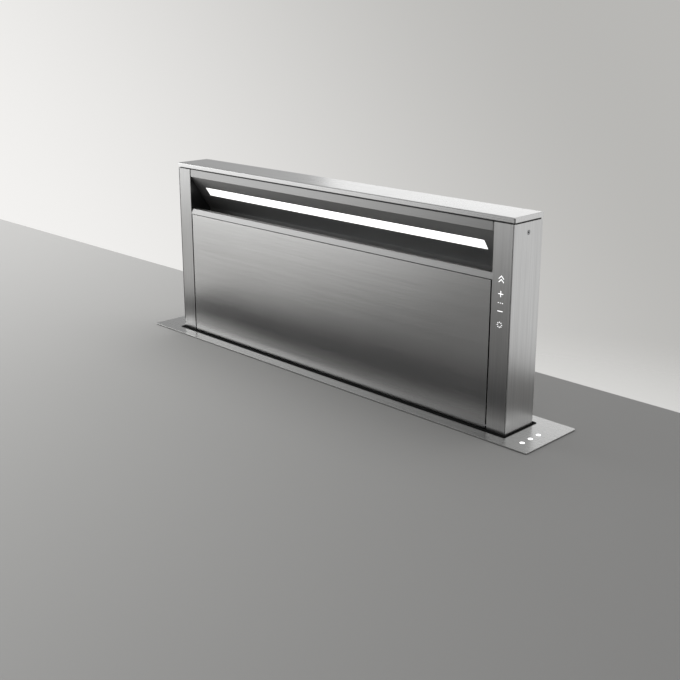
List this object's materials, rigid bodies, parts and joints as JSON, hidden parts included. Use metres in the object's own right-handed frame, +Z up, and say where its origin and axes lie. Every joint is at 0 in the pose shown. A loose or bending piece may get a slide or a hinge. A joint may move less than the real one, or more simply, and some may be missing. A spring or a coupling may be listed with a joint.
{
  "type": "downdraft vent",
  "caption": "Retractable worktop downdraft vent: a brushed steel tower with a lit intake slot that lifts out of a flanged casing with a belt drive and a centrifugal blower.",
  "frame": {"origin": "centre of the worktop cut-out, on the worktop's top surface, which is the underside of the flange's seal", "axes": "+Z up along the lift, +X to the right seen from the front, -Y towards the front, the side of the intake and the front panel"},
  "size_m": [0.88, 0.2677, 0.9765],
  "materials": {
    "brushed_steel": "brushed stainless",
    "galvanised_steel": "galvanised sheet",
    "zinc_fixings": "bright zinc",
    "aluminium": "natural",
    "black_plastic": "moulded, matt",
    "grey_plastic": "moulded, matt",
    "nylon": "natural nylon",
    "black_rubber": "matt",
    "motor_steel": "black enamel",
    "opal_light": "opal, lit",
    "circuit_green": "solder mask"
  },
  "bodies": {
    "housing": {"worktop_flange": "brushed_steel", "flange_seal": "black_rubber", "slot_lip": "black_rubber", "indicator_lenses": "opal_light", "casing_back": "galvanised_steel", "casing_front": "galvanised_steel", "casing_bottom": "galvanised_steel", "guide_rails": "aluminium", "drive_belts": "black_rubber", "idler_brackets": "galvanised_steel", "shaft_bearings": "aluminium", "lift_gearmotor": "motor_steel", "scroll_housing": "black_plastic", "scroll_cover": "black_plastic", "inlet_guard": "zinc_fixings", "blower_motor": "motor_steel", "motor_mounts": "black_rubber", "outlet_adaptor": "black_plastic", "damper_pin": "zinc_fixings", "electronics_box": "grey_plastic", "electronics_lid": "grey_plastic", "control_board": "circuit_green", "cable_gland": "black_plastic", "worktop_clamps": "galvanised_steel", "clamp_screws": "zinc_fixings", "support_brackets": "galvanised_steel"},
    "tower": {"top_cap": "brushed_steel", "top_plate": "galvanised_steel", "column_left": "brushed_steel", "column_right": "brushed_steel", "side_plate_left": "brushed_steel", "side_plate_right": "brushed_steel", "side_screws": "zinc_fixings", "header_fascia": "brushed_steel", "light_deflector": "brushed_steel", "light_lens": "opal_light", "light_channel": "aluminium", "light_board": "circuit_green", "sill_rail": "brushed_steel", "rear_panel": "brushed_steel", "lower_front_plate": "brushed_steel", "filter_frame": "galvanised_steel", "grease_filters": "aluminium", "filter_latches": "black_plastic", "panel_magnets": "motor_steel", "touch_board": "circuit_green", "carriage_frame": "galvanised_steel", "guide_shoes": "nylon", "belt_clamps": "black_plastic"},
    "front_panel": {"front_panel": "brushed_steel", "hinge_pins": "zinc_fixings", "panel_stiffener": "galvanised_steel"},
    "impeller": {"fan_impeller": "black_plastic", "motor_shaft": "zinc_fixings"},
    "damper_left": {"damper_flap_left": "aluminium"},
    "damper_right": {"damper_flap_right": "aluminium"},
    "lift_shaft": {"cross_shaft": "zinc_fixings", "drive_pulleys": "aluminium"},
    "idler_left": {"idler_pulley_left": "nylon"},
    "idler_right": {"idler_pulley_right": "nylon"}
  },
  "joints": [
    {"name": "lift_slide", "type": "slide", "parent": "housing", "child": "tower", "axis": [0, 0, 1], "range_m": [-0.3195, 0]},
    {"name": "panel_hinge", "type": "hinge", "parent": "tower", "child": "front_panel", "pos_m": [0, -0.0295, 0.0075], "axis": [1, 0, 0], "range_deg": [0, 80]},
    {"name": "impeller_spin", "type": "hinge", "parent": "housing", "child": "impeller", "pos_m": [-0.09, -0.09, -0.4], "axis": [0, -1, 0], "continuous": true},
    {"name": "damper_left_swing", "type": "hinge", "parent": "housing", "child": "damper_left", "pos_m": [-0.156, -0.1277, -0.6245], "axis": [0, -1, 0], "range_deg": [0, 75], "stiffness_Nm_per_rad": 0.02, "springref_deg": -34.38},
    {"name": "damper_right_swing", "type": "hinge", "parent": "housing", "child": "damper_right", "pos_m": [-0.156, -0.1277, -0.6245], "axis": [0, 1, 0], "range_deg": [0, 75], "stiffness_Nm_per_rad": 0.02, "springref_deg": -34.38},
    {"name": "shaft_spin", "type": "hinge", "parent": "housing", "child": "lift_shaft", "pos_m": [0, 0.016, -0.592], "axis": [1, 0, 0], "continuous": true},
    {"name": "idler_left_spin", "type": "hinge", "parent": "housing", "child": "idler_left", "pos_m": [-0.396, 0.016, -0.04], "axis": [1, 0, 0], "continuous": true},
    {"name": "idler_right_spin", "type": "hinge", "parent": "housing", "child": "idler_right", "pos_m": [0.396, 0.016, -0.04], "axis": [1, 0, 0], "continuous": true}
  ],
  "couplings": [
    {"joint": "shaft_spin", "follows": "lift_slide", "rad_per_m": -78.54},
    {"joint": "idler_left_spin", "follows": "lift_slide", "rad_per_m": -78.54},
    {"joint": "idler_right_spin", "follows": "lift_slide", "rad_per_m": -78.54}
  ]
}
